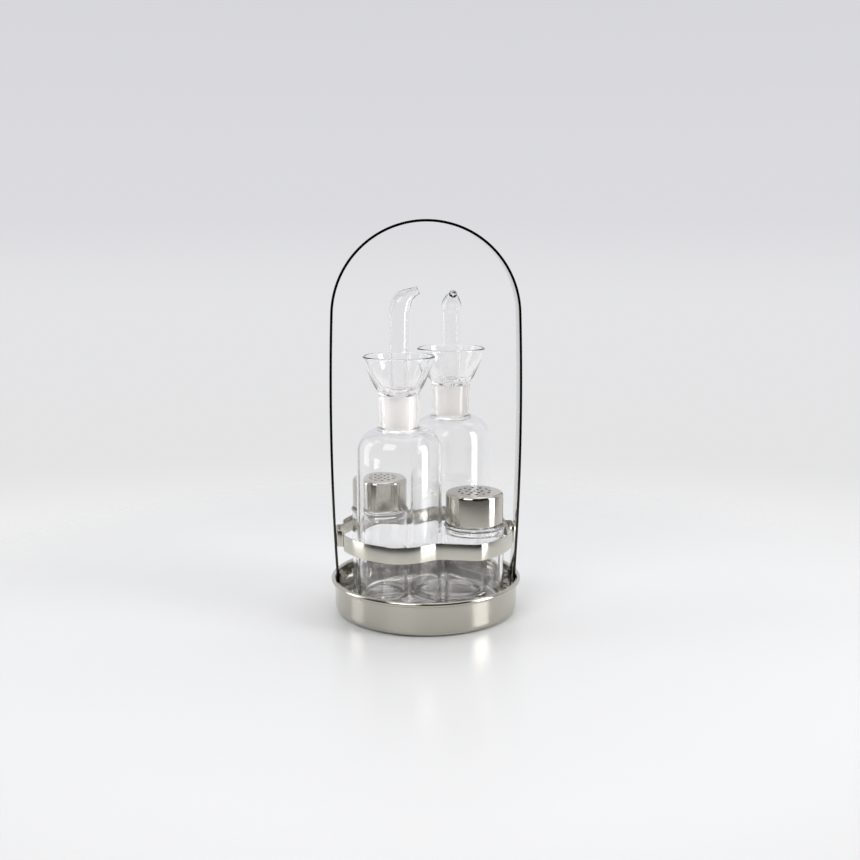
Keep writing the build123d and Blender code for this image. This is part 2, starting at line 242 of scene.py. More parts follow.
def arc(centre, radius, first, last):
    """Points (x, y) from angle first to last, degrees; either way round."""
    steps = max(2, ceil(abs(last - first) / 360 * max(24, 8 * radius)))
    angles = [radians(first + (last - first) * k / steps) for k in range(steps + 1)]
    return [Vector((centre[0] + radius * cos(a), centre[1] + radius * sin(a))) for a in angles]


def ribbon(line, thick, rise, edge):
    """A bmesh strip that stands on the XY plane, rise tall, thick inwards of
    its line, with its long edges rounded by edge."""
    bm = bmesh.new()
    apart = [p for p, q in zip(line, line[1:]) if (p - q).length > TOO_CLOSE] + [line[-1]]
    verts = [bm.verts.new((x, y, 0)) for x, y in apart]
    edges = [bm.edges.new(pair) for pair in zip(verts, verts[1:])]
    made = bmesh.ops.extrude_edge_only(bm, edges=edges)["geom"]
    top = [g for g in made if isinstance(g, bmesh.types.BMVert)]
    bmesh.ops.translate(bm, verts=top, vec=(0, 0, rise))
    bmesh.ops.recalc_face_normals(bm, faces=bm.faces)
    bm.normal_update()
    outward = sum(f.normal.dot(f.calc_center_median()) for f in bm.faces)
    if outward < 0:
        bmesh.ops.reverse_faces(bm, faces=bm.faces)
    bmesh.ops.solidify(bm, geom=bm.faces[:], thickness=thick)
    sharp = [e for e in bm.edges if e.is_manifold and e.calc_face_angle() > radians(60)]
    bmesh.ops.bevel(
        bm, geom=sharp, offset=edge, offset_type="OFFSET", segments=3, profile=0.5,
        affect="EDGES", material=-1, clamp_overlap=True,
    )
    return bm


# ---------------------------------------------------------------- pieces

def box_of(node):
    """Centre, lowest and highest corner of a CAD node, mm."""
    low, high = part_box(node)
    return (low + high) / 2 / MM, low / MM, high / MM


def round_grain(co, turn):
    """Along the grain and across it, mm, where it runs round the axis."""
    out = hypot(co.x, co.y)
    return turn * GRAIN_RADIUS, co.z - out


def handle_grain(co, turn):
    """The handle's grain runs up one leg, over the arch and down the other."""
    across = co.y + hypot(co.x, co.z - arch_up)
    if co.z > arch_up:
        return arch_radius * atan2(co.z - arch_up, co.x), across
    if co.x > 0:
        return co.z - arch_up, co.y + co.x
    return arch_radius * pi + arch_up - co.z, co.y + co.x


def piece(bm, name, node, finishes, zone=None, grain=round_grain, at=(0, 0)):
    """Makes a finished bmesh, in mm about its own axis, a piece that stands for
    a CAD node.  zone gives the finish's number from a face's middle."""
    layer = bm.loops.layers.uv.new("grain")
    bm.normal_update()
    for face in bm.faces:
        middle = face.calc_center_median()
        face.smooth = True
        face.material_index = zone(middle) if zone else 0
        facing = atan2(middle.y, middle.x)
        for loop in face.loops:
            turn = facing
            if hypot(loop.vert.co.x, loop.vert.co.y) > 1e-3:
                turn = atan2(loop.vert.co.y, loop.vert.co.x)
                turn += 2 * pi * round((facing - turn) / (2 * pi))
            loop[layer].uv = grain(loop.vert.co, turn)
    for edge in bm.edges:
        if edge.is_manifold and edge.calc_face_angle() > radians(SHARP_OVER):
            edge.smooth = False
    bmesh.ops.translate(bm, verts=bm.verts, vec=(*at, 0))
    bmesh.ops.scale(bm, verts=bm.verts, vec=(MM, MM, MM))
    mesh = bpy.data.meshes.new(name)
    bm.to_mesh(mesh)
    bm.free()
    made = bpy.data.objects.new(name, mesh)
    bpy.context.scene.collection.objects.link(made)
    for finish in finishes:
        mesh.materials.append(finish)
    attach(made, BODY_OF[node])
    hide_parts(node)
    return made


def drill(bm, holes):
    """Cuts upright holes, each (x, y, radius, low, high), through a bmesh."""
    cutter = bmesh.new()
    for x, y, radius, low, high in holes:
        made = bmesh.ops.create_cone(
            cutter, cap_ends=True, segments=HOLE_FACETS, radius1=radius, radius2=radius,
            depth=high - low,
        )
        bmesh.ops.translate(cutter, verts=made["verts"], vec=(x, y, (low + high) / 2))
    objects = []
    for form in (bm, cutter):
        mesh = bpy.data.meshes.new("blank")
        form.to_mesh(mesh)
        form.free()
        objects.append(bpy.data.objects.new("blank", mesh))
        bpy.context.scene.collection.objects.link(objects[-1])
    blank, tool = objects
    cut = blank.modifiers.new("holes", "BOOLEAN")
    cut.operation, cut.solver, cut.object = "DIFFERENCE", "EXACT", tool
    graph = bpy.context.evaluated_depsgraph_get()
    drilled = bmesh.new()
    drilled.from_mesh(blank.evaluated_get(graph).to_mesh())
    for old in objects:
        mesh = old.data
        bpy.data.objects.remove(old)
        bpy.data.meshes.remove(mesh)
    return drilled


# ---- places and overall sizes, from the frame ----
BODY_OF = {
    node: body
    for body, members in frame["record"]["behaviour"]["bodies"].items()
    for node in members
}
_, _, tray_high = box_of("tray")
curl_x = tray_high.x - RIM_CURL - SHEET / 2
curl_z = tray_high.z - RIM_CURL - SHEET / 2
tray_inner = curl_x - RIM_CURL - SHEET / 2
tray_outer = tray_inner + SHEET

_, handle_low, handle_high = box_of("handle")
strip_width = handle_high.y - handle_low.y
leg_wide = handle_high.x - STRIP_THICK / 2
leg_foot = leg_wide - LEG_SPREAD
wide_up = handle_high.z / 2
leg_drop = wide_up - tray_high.z
leg_radius = (leg_drop ** 2 + LEG_SPREAD ** 2) / (2 * LEG_SPREAD)
leg_centre = leg_wide - leg_radius
arch_mid = handle_high.z - STRIP_THICK / 2
reach_down = leg_radius + wide_up - arch_mid
arch_rise = (leg_centre ** 2 - reach_down ** 2) / (2 * reach_down)
arch_up = wide_up + arch_rise
arch_radius = arch_mid - arch_up
arch_lean = degrees(atan2(arch_rise, -leg_centre))

band_outer = tray_inner - TRAY_MARGIN
_, band_low, band_high = box_of("front_band")
oil_at, oil_low, oil_high = box_of("oil_bottle")
salt_at, _, _ = box_of("salt_jar")
bottle_radius = (oil_high.x - oil_low.x) / 2


def leg_x(z, side=0.0):
    """How far a leg stands from the axis at height z, side mm outside its middle."""
    return leg_centre + sqrt((leg_radius + side) ** 2 - (z - wide_up) ** 2)


def make_tray():
    """Drawn pan with a rolled rim; inside and outside in one closed skin."""
    big, small = RIM_CURL + SHEET / 2, RIM_CURL - SHEET / 2
    roll = (curl_x, curl_z)
    section = rounded((0, 0), (tray_outer, 0, TRAY_CORNER), (tray_outer, curl_z))
    section += arc(roll, small, 180, 180 - CURL_TURN)
    section += arc(roll, big, 180 - CURL_TURN, 180)
    section += rounded(
        (tray_inner, curl_z), (tray_inner, SHEET, TRAY_CORNER - SHEET), (0, SHEET)
    )
    rings = [Vector((out, section[-1].y)) for out in PAN_RINGS]
    bm = lathe(section[:-1] + rings + [section[-1]])

    def zone(middle):
        return int(middle.xy.length < tray_inner and middle.z > SHEET / 2)

    return piece(
        bm, "drawn_tray", "tray", [satin_steel, bright_steel], zone=zone
    )


def make_handle():
    """One strip bent to an arch, its straight feet inside the tray."""
    foot = handle_low.z
    leg = degrees(atan2(leg_drop, leg_foot - leg_centre))
    side = STRIP_THICK / 2
    right = [Vector((leg_foot + side, foot)), Vector((leg_foot + side, (foot + tray_high.z) / 2))]
    right += arc((leg_centre, wide_up), leg_radius + side, -leg, arch_lean)
    top = arc((0, arch_up), arch_radius + side, arch_lean, 180 - arch_lean)
    left = [Vector((-p.x, p.y)) for p in reversed(right)]
    bm = ribbon(right + top + left, STRIP_THICK, strip_width, STRIP_EDGE)
    bmesh.ops.rotate(bm, verts=bm.verts, matrix=Matrix.Rotation(pi / 2, 3, "X"))
    bmesh.ops.translate(bm, verts=bm.verts, vec=(0, strip_width / 2, 0))

    # The narrow sides take the near-black painted reflection finish.
    def zone(middle):
        return int(abs(middle.y) > strip_width / 2 - STRIP_EDGE / 2)

    return piece(
        bm, "arch_handle", "handle", [polished_strip, painted_dark_edge], zone=zone,
        grain=handle_grain,
    )


def toward(turn):
    """A unit step in the plan, in a direction in degrees."""
    return Vector((cos(radians(turn)), sin(radians(turn))))


def turn_of(point):
    """The direction of a point in the plan, degrees from 0 to 360."""
    return degrees(atan2(point.y, point.x)) % 360


def in_corner(tip, turn, radius):
    """Centre of the round that joins the band's circle to the dent's side that
    leaves its tip in direction turn."""
    along = toward(turn)
    inward = toward(turn + 90)
    if inward.dot(tip) > 0:
        inward = -inward
    base = tip + inward * radius
    short = band_outer - radius
    run = -base.dot(along) + sqrt(base.dot(along) ** 2 - base.length_squared + short ** 2)
    return base + along * run


def band_line():
    """The front band's outer face from the left leg to the right one."""
    middle = (band_low.z + band_high.z) / 2
    tab = leg_x(middle, -STRIP_THICK / 2) - WELD_GAP
    flat = tab - NIB_DEPTH
    soft_x = flat - BAND_SOFT
    soft = Vector((soft_x, -sqrt((band_outer - BAND_SOFT) ** 2 - soft_x ** 2)))
    mirrored = Vector((-soft.x, soft.y))

    hug = band_outer - oil_at.xy.length + DENT_CLEAR
    dent_x = (oil_at.x + salt_at.x) / 2 + DENT_SHIFT
    steep = radians(DENT_STEEP)
    drop = (hug - sin(steep) * (dent_x - oil_at.x)) / cos(steep)
    tip = Vector((dent_x, oil_at.y - drop))
    run = in_corner(tip, 180 + DENT_STEEP, DENT_RUN)
    out_steep, out_easy = toward(270 + DENT_STEEP), toward(270 - DENT_EASY)
    hollow = tip + (out_steep + out_easy) * DENT_BEND / (1 + out_steep.dot(out_easy))
    shoulder = in_corner(tip, -DENT_EASY, DENT_SHOULDER)

    def nib(side):
        outer = arc((tab - NIB_BEND, NIB_BEND - NIB_HALF), NIB_BEND, 0, -90)
        inner = arc((flat + NIB_BEND, -NIB_HALF - NIB_BEND), NIB_BEND, 90, 180)
        line = [Vector((tab, -BAND_GAP / 2)), *outer, *inner]
        return [Vector((side * p.x, p.y)) for p in line]

    return (
        nib(-1)
        + arc(mirrored, BAND_SOFT, 180, turn_of(mirrored))
        + arc((0, 0), band_outer, turn_of(mirrored), turn_of(run))
        + arc(run, DENT_RUN, turn_of(run), 270 + DENT_STEEP)
        + arc(hollow, DENT_BEND, 90 + DENT_STEEP, 90 - DENT_EASY)
        + arc(shoulder, DENT_SHOULDER, 270 - DENT_EASY, turn_of(shoulder))
        + arc((0, 0), band_outer, turn_of(shoulder), turn_of(soft))
        + arc(soft, BAND_SOFT, turn_of(soft), 360)
        + nib(1)[::-1]
    )


def make_bands():
    """Front and rear strips, the rear one turned half round."""
    rise = band_high.z - band_low.z
    lean = (wide_up - (band_low.z + band_high.z) / 2) / leg_radius
    for turn, name, node in ((0, "front_rack_band", "front_band"),
                             (pi, "rear_rack_band", "rear_band")):
        bm = ribbon(band_line(), BAND_THICK, rise, BAND_EDGE)
        for vert in bm.verts:
            if abs(vert.co.x) > handle_high.x - NIB_DEPTH - STRIP_THICK:
                vert.co.x += (vert.co.z - rise / 2) * lean * (1 if vert.co.x > 0 else -1)
        bmesh.ops.rotate(bm, verts=bm.verts, matrix=Matrix.Rotation(turn, 3, "Z"))
        bmesh.ops.translate(bm, verts=bm.verts, vec=(0, 0, band_low.z))
        piece(bm, name, node, [satin_band])


def make_cruet(name, node):
    """Blown bottle: thick foot, round shoulder, neck with a ground socket."""
    at, low, high = box_of(node)
    r, seat, lip = bottle_radius, low.z, high.z
    neck = lip - NECK_LENGTH
    ledge = NECK_LOW + NECK_LEDGE
    round_out = r - ledge
    shoulder = neck - round_out
    stand = r - 2 * FOOT_RADIUS
    curve = (stand ** 2 + PUSH_UP ** 2) / (2 * PUSH_UP)
    spread = degrees(atan2(stand, curve - PUSH_UP))
    outside = arc((0, seat + PUSH_UP - curve), curve, 90, 90 - spread)
    outside += rounded((stand, seat), (r, seat, FOOT_RADIUS), (r, shoulder))
    outside += arc((ledge, shoulder), round_out, 0, 90 - NECK_FLARE)[1:]
    outside += rounded(
        (ledge + NECK_FOOT, neck), *placed(NECK_COVE, NECK_LOW, neck)
    )
    outside += rounded(
        *placed([NECK_RISE], NECK_LOW, neck), (NECK_HIGH, lip, LIP_ROUND),
        (SOCKET_HIGH, lip, LIP_ROUND), (SOCKET_LOW, neck),
        (SOCKET_LOW, neck - BOTTLE_WALL, SOCKET_FOOT), (ledge, neck - BOTTLE_WALL),
    )
    inner = r - BOTTLE_WALL
    inside = arc((ledge, shoulder), round_out - BOTTLE_WALL, 90, 0)[1:]
    floor = seat + BOTTLE_FLOOR
    inside += rounded((inner, shoulder), (inner, floor, 2 * FOOT_RADIUS), (0, floor))
    bm = lathe(outside + inside)
    socket = SOCKET_HIGH + GROUND_OVER

    def zone(middle):
        return int(middle.xy.length < socket and neck < middle.z < lip - GROUND_SHORT)

    return piece(
        bm, name, node, [clear_glass, ground_glass], zone=zone,
        at=(at.x, at.y),
    )


def ease(t):
    """A share from 0 to 1 that leaves 0 and reaches 1 gently."""
    t = min(max(t, 0.0), 1.0)
    return t * t * (3 - 2 * t)


def flare(foot, middle, edge):
    """Points of the round curve from foot through middle to edge."""
    a, b, c = Vector(foot), Vector(middle), Vector(edge)
    det = 2 * (a.x * (b.y - c.y) + b.x * (c.y - a.y) + c.x * (a.y - b.y))
    aa, bb, cc = a.length_squared, b.length_squared, c.length_squared
    centre = Vector((
        (aa * (b.y - c.y) + bb * (c.y - a.y) + cc * (a.y - b.y)) / det,
        (aa * (c.x - b.x) + bb * (a.x - c.x) + cc * (b.x - a.x)) / det,
    ))
    first, last = (degrees(atan2(p.y - centre.y, p.x - centre.x)) for p in (a, c))
    return arc(centre, (a - centre).length, first, first + (last - first + 180) % 360 - 180)


def make_stopper(name, node, bottle, rise, beak):
    """Plug, drip cup and beaked spout, blown and fused into one piece."""
    at, _, bottle_high = box_of(bottle)
    lip = bottle_high.z
    neck = lip - NECK_LENGTH
    low_z = neck + PLUG_SHORT
    share = PLUG_SHORT / NECK_LENGTH
    low = SOCKET_LOW + (SOCKET_HIGH - SOCKET_LOW) * share - PLUG_GAP
    high = SOCKET_HIGH - PLUG_GAP
    cup, rim = lip + CUP_SEAT, lip + CUP_SEAT + CUP_HEIGHT
    waist = Vector((CUP_WAIST, cup + CUP_HEIGHT * CUP_WAIST_UP))
    bend = cup + rise

    bore = SPOUT_LOW - SPOUT_WALL
    floor = cup + CUP_FLOOR
    bowl = CUP_FOOT - CUP_WALL
    ends = low_z + PLUG_ROUND
    outside = rounded(
        (low, ends), (low, ends + PLUG_ROUND), (high, lip, PLUG_NECK),
        *placed(CUP_UNDER, CUP_FOOT, cup),
    )
    outside += flare(*placed([CUP_STARTS], CUP_FOOT, cup), waist, (CUP_RIM, rim))
    outside += arc((CUP_RIM - CUP_WALL / 2, rim), CUP_WALL / 2, 0, 180)[1:-1]
    outside += flare(
        (CUP_RIM - CUP_WALL, rim), (CUP_WAIST - CUP_WALL, waist.y + BOWL_LEAVES),
        *placed([BOWL_ENDS], bowl, floor),
    )
    outside += rounded(
        *placed(BOWL_FLOOR, bowl, floor), (SPOUT_LOW, floor, SPOUT_FOOT),
        *placed([SPOUT_RISE], SPOUT_LOW, floor), (SPOUT_HIGH, bend),
    )
    inside = rounded(
        (low - PLUG_WALL, ends), (high - PLUG_WALL, cup - 2 * PLUG_WALL, PLUG_TOP),
        (bore, cup, BORE_FOOT), (SPOUT_HIGH - SPOUT_WALL, bend),
    )
    # The plug's foot is round at both edges and ground flat between them.
    foot = arc((low - PLUG_WALL / 2, ends), PLUG_WALL / 2, 180, 360)[1:-1]
    foot = [Vector((p.x, max(p.y, low_z))) for p in foot]
    bm = lathe(inside[::-1] + foot + outside)
    bend_spout(bm, bend)
    drain = (SPOUT_LOW + bowl) / 2
    bm = drill(bm, [(drain, 0, DRIP_HOLE, cup - 2 * CUP_FLOOR, cup + 2 * CUP_FLOOR)])
    bmesh.ops.rotate(bm, verts=bm.verts, matrix=Matrix.Rotation(radians(beak), 3, "Z"))

    def zone(middle):
        outer = middle.xy.length > low - PLUG_WALL / 2
        return int(outer and low_z + PLUG_GROUND < middle.z < lip - PLUG_GROUND)

    return piece(
        bm, name, node, [clear_glass, ground_glass], zone=zone,
        at=(at.x, at.y),
    )


def bend_spout(bm, start):
    """Draws the tube's two open rims on from height start, along a bend that
    narrows to the beak, and closes them at its lip."""
    rims = {}
    for edge in bm.edges:
        if edge.is_boundary:
            out = edge.verts[0].co.xy.length
            rims.setdefault(out > SPOUT_HIGH - SPOUT_WALL / 2, []).append(edge)
    spout_in = SPOUT_HIGH - SPOUT_WALL

    def ring(t, outer):
        shrink = 1 - ease((t - BEND_NARROWS) / (1 - BEND_NARROWS))
        if outer:
            return TIP_RADIUS + (SPOUT_HIGH - TIP_RADIUS) * shrink
        return TIP_BORE + (spout_in - TIP_BORE) * shrink

    stations = [(Vector((0, 0, start)), 0.0, 0.0)]
    for k in range(1, BEND_STEPS + 1):
        t = k / BEND_STEPS
        lean = radians(BEND_LEAN) * ease(t - 0.5 / BEND_STEPS)
        step = Vector((sin(lean), 0, cos(lean))) * BEND_LENGTH / BEND_STEPS
        stations.append((stations[-1][0] + step, radians(BEND_LEAN) * ease(t), t))
    end, lean, _ = stations[-1]
    along = Vector((sin(lean), 0, cos(lean)))

    for outer, edges in rims.items():
        course = [(at, lean, ring(t, outer)) for at, lean, t in stations]
        for out, back in BEAK_LIP:
            radius = course[BEND_STEPS][2] + (-back if outer else back)
            course.append((end + along * out, lean, radius))
        for before, after in zip(course, course[1:]):
            made = bmesh.ops.extrude_edge_only(bm, edges=edges)["geom"]
            edges = [g for g in made if isinstance(g, bmesh.types.BMEdge)]
            verts = {v for e in edges for v in e.verts}
            shape = Matrix()
            for at, lean, radius in (before, after):
                place = (
                    Matrix.Translation(at) @ Matrix.Rotation(lean, 4, "Y")
                    @ Matrix.Scale(radius, 4)
                )
                shape = place @ shape.inverted()
            bmesh.ops.transform(bm, matrix=shape, verts=list(verts))
        rims[outer] = edges
    bmesh.ops.bridge_loops(bm, edges=rims[True] + rims[False])
    bmesh.ops.recalc_face_normals(bm, faces=bm.faces)


def make_jar(name, node):
    """Straight shaker glass with a bead below its plain neck."""
    at, low, high = box_of(node)
    bead_out = (high.x - low.x) / 2
    seat, top, r = low.z, high.z, JAR_RADIUS
    bead = top - JAR_TOP - BEAD
    stand = r - 2 * JAR_FOOT
    dome = (stand ** 2 + (PUSH_UP / 2) ** 2) / PUSH_UP
    spread = degrees(atan2(stand, dome - PUSH_UP / 2))
    mouth, wall = JAR_NECK - JAR_WALL, r - JAR_WALL
    section = arc((0, seat + PUSH_UP / 2 - dome), dome, 90, 90 - spread)
    ring = bead_out - BEAD / 2
    (under, under_round), (over, over_round) = BEAD_EDGE
    section += rounded(
        (stand, seat), (r, seat, JAR_FOOT), *placed(BEAD_COVE, r, bead),
        (ring + under, bead, under_round), (ring, bead),
    )
    section += arc((ring, bead + BEAD / 2), BEAD / 2, -90, 90)[1:]
    section += rounded(
        (ring + over, bead + BEAD), (JAR_NECK, bead + BEAD, over_round),
        (JAR_NECK, top, JAR_LIP), (mouth, top, JAR_LIP), (mouth, bead + BEAD, JAR_SHOULDER),
        (wall, bead - JAR_SHOULDER, JAR_SHOULDER), (wall, seat + JAR_FLOOR, JAR_FOOT),
        (0, seat + JAR_FLOOR),
    )
    return piece(
        lathe(section), name, node, [clear_glass], at=(at.x, at.y)
    )


def make_cap(name, node):
    """Drawn steel cap with rings of shaker holes."""
    at, low, high = box_of(node)
    r = (high.x - low.x) / 2
    low, top = low.z, high.z
    inside = CAP_CORNER - CAP_SHEET
    section = rounded(
        (0, top), (CAP_RING, top), (r, top, CAP_CORNER), (r, low, CAP_SHEET / 3),
        (r - CAP_SHEET, low, CAP_SHEET / 3), (r - CAP_SHEET, top - CAP_SHEET, inside),
        (0, top - CAP_SHEET),
    )
    holes = []
    for out, count in HOLE_RINGS:
        for k in range(count):
            turn = 2 * pi * k / count
            holes.append((
                out * cos(turn), out * sin(turn), HOLE_RADIUS, top - 2 * CAP_SHEET,
                top + CAP_SHEET,
            ))
    bm = drill(lathe(section), holes)

    # Inner faces and hole walls take the painted shade steel; the outer skin takes the satin.
    def zone(middle):
        across = max(middle.xy.length - r + CAP_CORNER, 0)
        up = max(middle.z - top + CAP_CORNER, 0)
        return int(hypot(across, up) < CAP_CORNER - CAP_SHEET / 3)

    return piece(
        bm, name, node, [satin_cap, painted_shade_steel], zone=zone, at=(at.x, at.y)
    )


def make_liner(name, node):
    """Plastic ring pressed into the cap."""
    at, low, high = box_of(node)
    r = (high.x - low.x) / 2
    bore = JAR_NECK + LINER_GAP
    low, top = low.z, high.z
    seam = (bore, low + LINER_SEAM)
    corners = [(bore, low), (r, low), (r, top), (bore, top)]
    section = rounded(seam, *[(*corner, LINER_ROUND) for corner in corners], seam)
    return piece(
        lathe(section[:-1], loop=True), name, node, [liner_plastic],
        at=(at.x, at.y),
    )


# ---------------------------------------------------------------- materials

def linear(code):
    """A linear colour from an sRGB hex value."""
    parts = [int(code[i:i + 2], 16) / 255 for i in (1, 3, 5)]
    return (*[c / 12.92 if c <= 0.04045 else ((c + 0.055) / 1.055) ** 2.4 for c in parts], 1)


def add(tree, kind, inputs=None, **settings):
    """Adds a node.  settings are its own; inputs are its sockets, each given a
    value or the output that feeds it."""
    made = tree.nodes.new("ShaderNode" + kind)
    for name, value in settings.items():
        setattr(made, name, value)
    for name, value in (inputs or {}).items():
        if isinstance(value, bpy.types.NodeSocket):
            tree.links.new(value, made.inputs[name])
        else:
            made.inputs[name].default_value = value
    return made


def material(name):
    """A new empty material and its node tree."""
    made = bpy.data.materials.new(name)
    made.use_nodes = True
    made.node_tree.nodes.clear()
    return made, made.node_tree


def steel(name, colour, roughness, spread, scratch_mm, scratch_depth, anisotropy):
    """Stainless steel with a grain that runs along the UV map's U, between two
    colours.  spread is how far the grain takes the roughness either way.  Real
    scratches are finer than scratch_mm, which is as coarse as they need to show."""
    made, tree = material(name)
    grain = add(tree, "UVMap", uv_map="grain")
    stretched = add(tree, "Mapping", {
        "Vector": grain.outputs["UV"],
        "Scale": (1 / GRAIN_LENGTH, 1 / scratch_mm, 1),
    })
    lines = add(tree, "TexNoise", {
        "Vector": stretched.outputs["Vector"], "Scale": 1.0, "Detail": 4.0, "Roughness": 0.6,
    }, noise_dimensions="2D")
    where = add(tree, "TexCoord")
    clouds = add(tree, "TexNoise", {
        "Vector": where.outputs["Object"], "Scale": 1 / (CLOUD * MM), "Detail": 2.0,
    })
    both = add(tree, "Math", {0: lines.outputs["Fac"], 1: clouds.outputs["Fac"]}, operation="ADD")
    rough = add(tree, "MapRange", {
        "Value": both.outputs[0], "From Min": NOISE_RANGE[0], "From Max": NOISE_RANGE[1],
        "To Min": roughness - spread, "To Max": roughness + spread,
    })
    tone = add(tree, "MixRGB", {
        "Fac": lines.outputs["Fac"], "Color1": linear(colour[0]), "Color2": linear(colour[1]),
    })
    relief = add(tree, "Bump", {
        "Height": lines.outputs["Fac"], "Strength": 1.0, "Distance": scratch_depth * MM,
    })
    tangent = add(tree, "Tangent", direction_type="UV_MAP", uv_map="grain")
    shader = add(tree, "BsdfPrincipled", {
        "Base Color": tone.outputs["Color"], "Metallic": 1.0, "Roughness": rough.outputs[0],
        "Anisotropic": anisotropy, "Anisotropic Rotation": 0.25,
        "Normal": relief.outputs["Normal"], "Tangent": tangent.outputs["Tangent"],
    })
    add(tree, "OutputMaterial", {"Surface": shader.outputs["BSDF"]})
    return made


def glass(name, roughness, tint, milk):
    """Borosilicate glass, which bends light but lets its shadow stay pale.
    milk is the share of a ground surface that scatters white."""
    made, tree = material(name)
    body = add(tree, "BsdfPrincipled", {
        "Base Color": linear(tint), "Roughness": roughness, "IOR": 1.47,
        "Transmission Weight": 1.0,
    })
    surface = body.outputs["BSDF"]
    if milk:
        bloom = add(tree, "BsdfTranslucent", {"Color": linear(tint)})
        chalk = add(tree, "BsdfDiffuse", {"Color": linear(tint)})
        white = add(tree, "MixShader", {0: 0.5, 1: bloom.outputs[0], 2: chalk.outputs[0]})
        surface = add(tree, "MixShader", {0: milk, 1: surface, 2: white.outputs[0]}).outputs[0]
    rays = add(tree, "LightPath")
    clear = add(tree, "BsdfTransparent", {"Color": linear("#F5F5F5")})
    mixed = add(tree, "MixShader", {
        0: rays.outputs["Is Shadow Ray"], 1: surface, 2: clear.outputs[0],
    })
    add(tree, "OutputMaterial", {"Surface": mixed.outputs[0]})
    return made


def polypropylene():
    """Natural polypropylene, moulded: milky, waxy, faintly see-through."""
    made, tree = material("natural_polypropylene_moulded")
    where = add(tree, "TexCoord")
    flow = add(tree, "TexNoise", {
        "Vector": where.outputs["Object"], "Scale": 1 / (1.5 * MM), "Detail": 2.0,
    })
    tone = add(tree, "MixRGB", {
        "Fac": flow.outputs["Fac"], "Color1": linear("#E4E4DF"), "Color2": linear("#EFEFEB"),
    })
    shader = add(tree, "BsdfPrincipled", {
        "Base Color": tone.outputs["Color"], "Roughness": 0.42, "IOR": 1.49,
        "Subsurface Weight": 0.3, "Subsurface Radius": (0.002, 0.002, 0.002),
    })
    add(tree, "OutputMaterial", {"Surface": shader.outputs["BSDF"]})
    return made


# Deep-drawn 18/10 stainless, satin brushed round the pan: grey, warm, with its
# lights drawn out upright into soft bars.
satin_steel = steel(
    "satin_brushed_stainless", ("#B8B4AA", "#C6C2B9"), roughness=0.17, spread=0.04,
    scratch_mm=0.35, scratch_depth=0.002, anisotropy=0.75,
)
# The band's strip is brushed along its length and a little brighter.
satin_band = steel(
    "strip_brushed_stainless", ("#C2BEB4", "#D0CDC4"), roughness=0.16, spread=0.04,
    scratch_mm=0.3, scratch_depth=0.002, anisotropy=0.7,
)
# Caps are spun against a fine pad: long upright lights, dark between them.
satin_cap = steel(
    "spun_satin_stainless", ("#B4AFA5", "#CBC7BE"), roughness=0.15, spread=0.05,
    scratch_mm=0.3, scratch_depth=0.003, anisotropy=0.75,
)
# Painted shade: the cap's inner faces and hole walls are coloured dull and dark so that its holes
# read black.
painted_shade_steel = steel(
    "painted_shade_cap_inside_stainless", ("#2A2928", "#353433"), roughness=0.5, spread=0.05,
    scratch_mm=0.5, scratch_depth=0.002, anisotropy=0.0,
)
# Inside, the pan keeps the sheet's bright finish: a slightly soft mirror.
bright_steel = steel(
    "bright_annealed_stainless", ("#CBC9C3", "#D8D6D1"), roughness=0.07, spread=0.02,
    scratch_mm=0.5, scratch_depth=0.001, anisotropy=0.2,
)
# The handle strip is tumbled and polished: near mirror on its broad faces.
polished_strip = steel(
    "polished_strip_stainless", ("#C4C2BC", "#D2D0CB"), roughness=0.07, spread=0.02,
    scratch_mm=0.5, scratch_depth=0.001, anisotropy=0.2,
)
# Painted reflection: its narrow sides are coloured near black, a little shiny, to stand for the
# dark room they mirror.
painted_dark_edge = steel(
    "painted_dark_reflection_edge_stainless", ("#35332F", "#45433F"), roughness=0.16, spread=0.04,
    scratch_mm=0.4, scratch_depth=0.001, anisotropy=0.2,
)
# Flame-worked borosilicate glass: water clear, with grey lines at its edges.
clear_glass = glass("clear_borosilicate_glass", roughness=0.0, tint="#FEFEFE", milk=0.0)
# The same glass ground with grit where the plug seats: white and misty.
ground_glass = glass("ground_borosilicate_glass", roughness=0.35, tint="#EFEDEB", milk=0.30)
liner_plastic = polypropylene()


# ---------------------------------------------------------------- the set

make_tray()
make_handle()
make_bands()
for kind, (rise, beak) in SPOUTS.items():
    make_cruet(f"{kind}_cruet", f"{kind}_bottle")
    make_stopper(f"{kind}_drip_stopper", f"{kind}_stopper", f"{kind}_bottle", rise, beak)
for kind in ("salt", "pepper"):
    make_jar(f"{kind}_shaker_glass", f"{kind}_jar")
    make_cap(f"{kind}_shaker_cap", f"{kind}_cap")
    make_liner(f"{kind}_grip_liner", f"{kind}_cap_liner")


# ---------------------------------------------------------------- stage

def make_floor():
    """Pale table that fades out before its edge."""
    bm = bmesh.new()
    bmesh.ops.create_circle(bm, cap_ends=True, segments=96, radius=FLOOR_RADIUS)
    bmesh.ops.translate(bm, verts=bm.verts, vec=(0, 0, -TABLE_DROP))
    mesh = bpy.data.meshes.new("table_top")
    bm.to_mesh(mesh)
    bm.free()
    floor = bpy.data.objects.new("table_top", mesh)
    bpy.context.scene.collection.objects.link(floor)
    made, tree = material("white_laminate")
    where = add(tree, "TexCoord")
    away = add(tree, "VectorMath", {0: where.outputs["Object"]}, operation="LENGTH")
    fade = add(tree, "MapRange", {
        "Value": away.outputs["Value"], "From Min": FLOOR_FADES[0] * FLOOR_RADIUS,
        "From Max": FLOOR_FADES[1] * FLOOR_RADIUS,
    }, interpolation_type="SMOOTHSTEP")
    table = add(tree, "BsdfPrincipled", {
        "Base Color": linear("#E6E6E6"), "Roughness": 0.25, "Specular IOR Level": 0.3,
    })
    gone = add(tree, "BsdfTransparent")
    mixed = add(tree, "MixShader", {
        0: fade.outputs["Result"], 1: table.outputs["BSDF"], 2: gone.outputs["BSDF"],
    })
    add(tree, "OutputMaterial", {"Surface": mixed.outputs[0]})
    mesh.materials.append(made)


